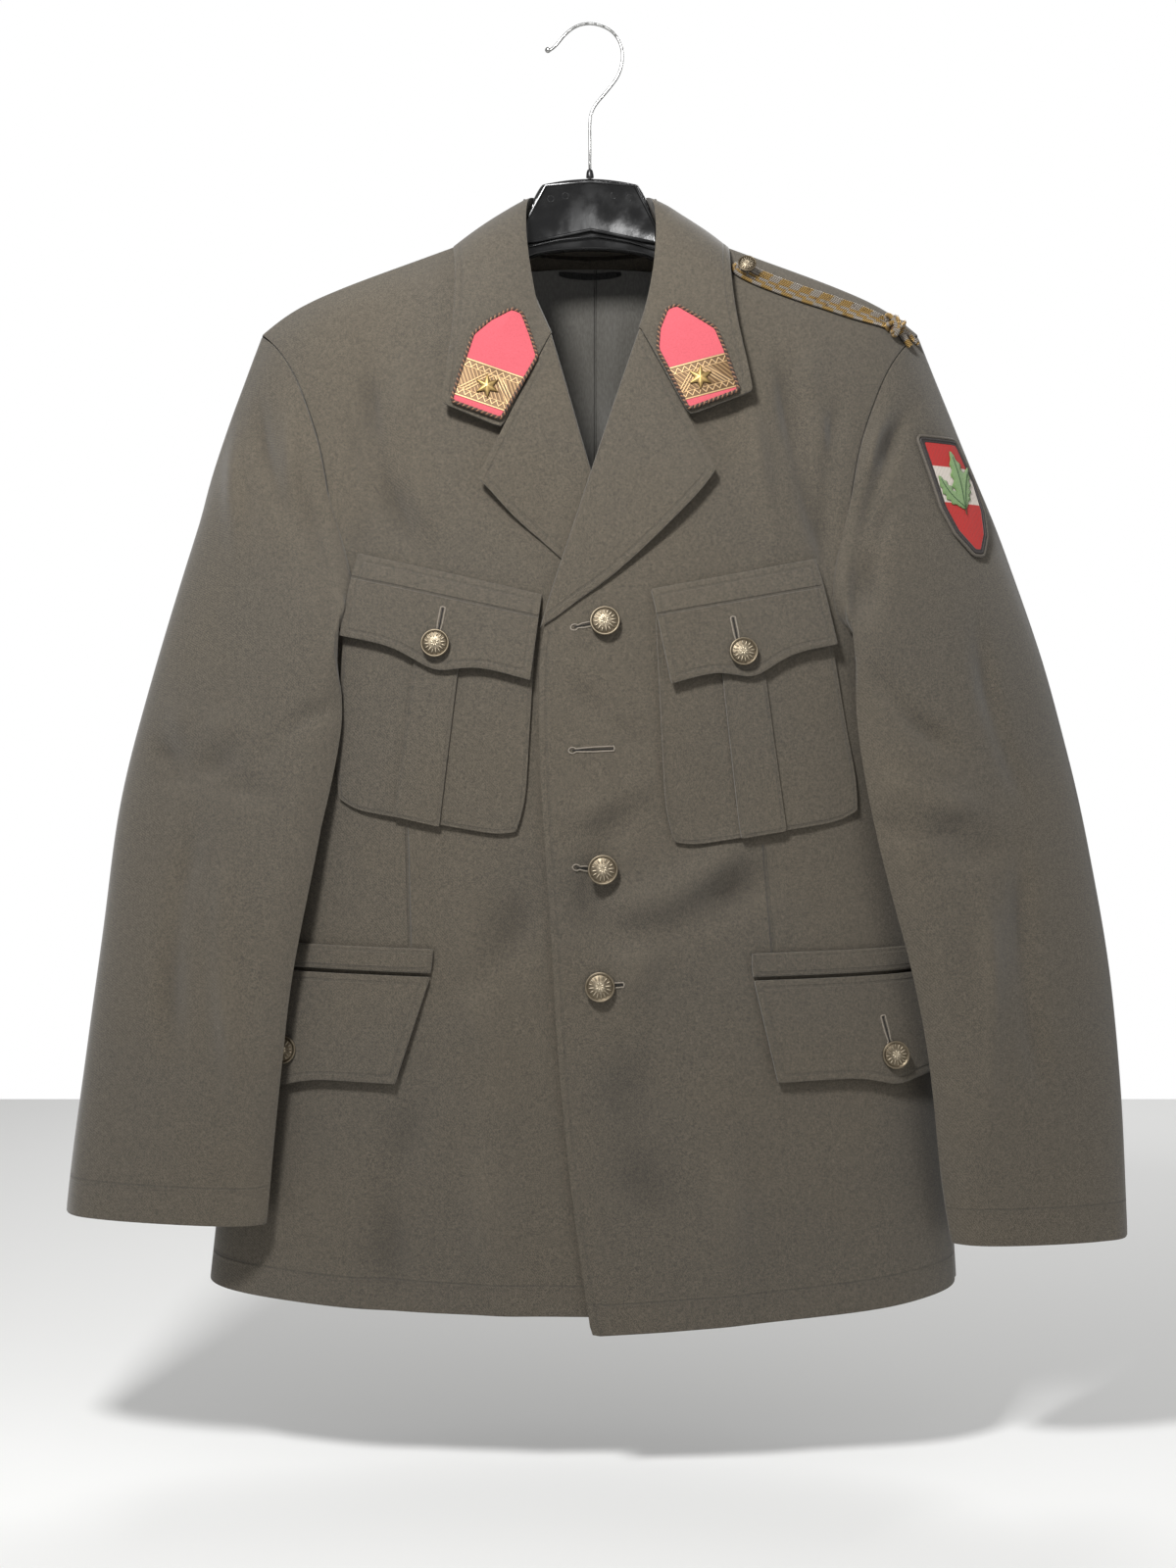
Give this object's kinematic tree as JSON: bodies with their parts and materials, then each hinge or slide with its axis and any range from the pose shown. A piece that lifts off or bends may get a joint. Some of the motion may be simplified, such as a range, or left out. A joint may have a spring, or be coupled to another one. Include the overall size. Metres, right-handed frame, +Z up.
{
  "type": "military jacket on a hanger",
  "caption": "Single-breasted wool uniform jacket with notch lapels, flapped patch pockets, collar patches and shoulder cord, on a moulded hanger.",
  "frame": {"origin": "underside of the hook's crest, where the hook rests on a rail", "axes": "+Z up, the jacket's front faces -Y, the wearer's left is +X"},
  "size_m": [0.752, 0.1787, 0.9194],
  "materials": {
    "cloth": "heather wool twill",
    "lining": "satin weave",
    "tape": "woven tape",
    "patch_cloth": "felt with lace band",
    "star_metal": "worn gilt",
    "button_metal": "aged satin",
    "cord_braid": "metallic thread braid",
    "badge": "embroidered cloth",
    "hanger_plastic": "gloss black",
    "hook_steel": "bright wire"
  },
  "bodies": {
    "root": {"back_left": "cloth", "back_right": "cloth", "button_chest_left": "button_metal", "button_chest_right": "button_metal", "button_front_low": "button_metal", "button_front_top": "button_metal", "button_front_waist": "button_metal", "button_hip_left": "button_metal", "button_hip_right": "button_metal", "button_shoulder": "button_metal", "collar": "cloth", "collar_patch_left": "patch_cloth", "collar_patch_right": "patch_cloth", "collar_star_left": "star_metal", "collar_star_right": "star_metal", "flap_chest_left": "cloth", "flap_chest_right": "cloth", "flap_hip_left": "cloth", "flap_hip_right": "cloth", "front_left": "cloth", "front_right": "cloth", "hang_loop": "tape", "hanger_body": "hanger_plastic", "hanger_ferrule": "hanger_plastic", "hanger_hook": "hook_steel", "lapel_left": "cloth", "lapel_right": "cloth", "lining_back": "lining", "pleat_chest_left": "cloth", "pleat_chest_right": "cloth", "pocket_chest_left": "cloth", "pocket_chest_right": "cloth", "shoulder_cord": "cord_braid", "shoulder_knot": "cord_braid", "sleeve_badge": "badge", "sleeve_left_top": "cloth", "sleeve_left_under": "cloth", "sleeve_right_top": "cloth", "sleeve_right_under": "cloth", "welt_hip_left": "cloth", "welt_hip_right": "cloth"}
  },
  "joints": []
}
